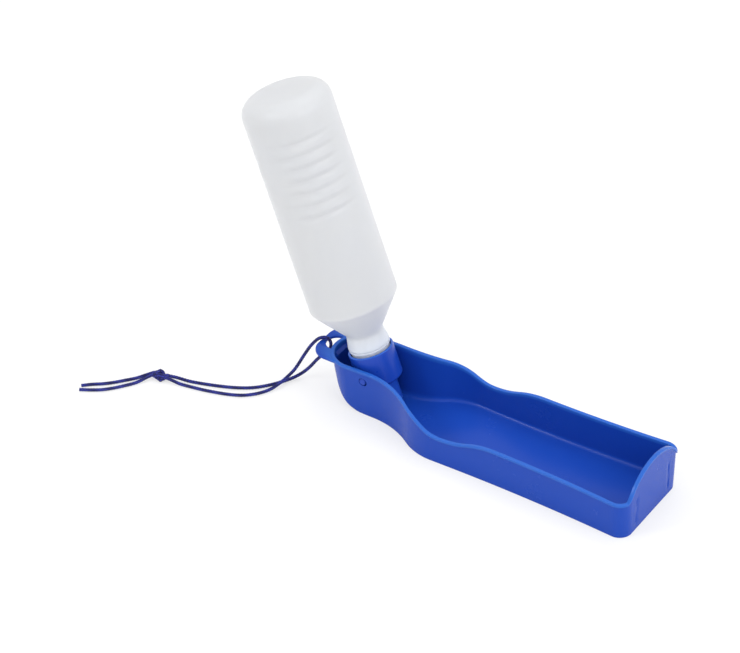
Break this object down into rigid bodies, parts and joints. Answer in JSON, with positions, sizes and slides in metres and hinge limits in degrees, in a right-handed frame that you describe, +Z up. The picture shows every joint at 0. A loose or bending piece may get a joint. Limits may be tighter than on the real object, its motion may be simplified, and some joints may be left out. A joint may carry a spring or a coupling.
{
  "type": "dog travel water bottle",
  "caption": "Squeeze bottle for dogs on a pivoting screw cap, which folds down into its own long drinking tray with a cord loop at the narrow end.",
  "frame": {"origin": "middle of the tray's flat base, between its round-arched end wall and the foot under the pivot", "axes": "+X to the arched end wall, -X to the pivot, head and cord tab, +Z up, +Y to the far side wall"},
  "size_m": [0.4005, 0.1405, 0.2367],
  "materials": {
    "tray_plastic": "satin moulded polypropylene",
    "cap_plastic": "satin moulded polypropylene",
    "bottle_plastic": "milky blown polyethylene",
    "seal_rubber": "soft",
    "washer_foam": "soft",
    "cord": "round knitted cord"
  },
  "bodies": {
    "tray": {"tray": "tray_plastic", "cord_loop": "cord", "cord_knot": "cord", "cord_tail_near": "cord", "cord_tail_far": "cord"},
    "cap": {"pivot_cap": "cap_plastic", "spout_seal": "seal_rubber"},
    "washer": {"neck_washer": "washer_foam"},
    "bottle": {"bottle_neck": "bottle_plastic", "bottle_body": "bottle_plastic"}
  },
  "joints": [
    {"name": "bottle_fold", "type": "hinge", "parent": "tray", "child": "cap", "pos_m": [-0.108, 0, 0.03], "axis": [0, 1, 0], "range_deg": [-27, 105]},
    {"name": "bottle_turn", "type": "hinge", "parent": "cap", "child": "washer", "pos_m": [-0.108, 0, 0.03], "axis": [-0.342, 0, 0.9397], "range_deg": [0, 90]},
    {"name": "bottle_rise", "type": "slide", "parent": "washer", "child": "bottle", "axis": [-0.342, 0, 0.9397], "range_m": [0, 0.0009]}
  ],
  "couplings": [
    {"joint": "bottle_rise", "follows": "bottle_turn", "m_per_rad": 0.0005093}
  ]
}
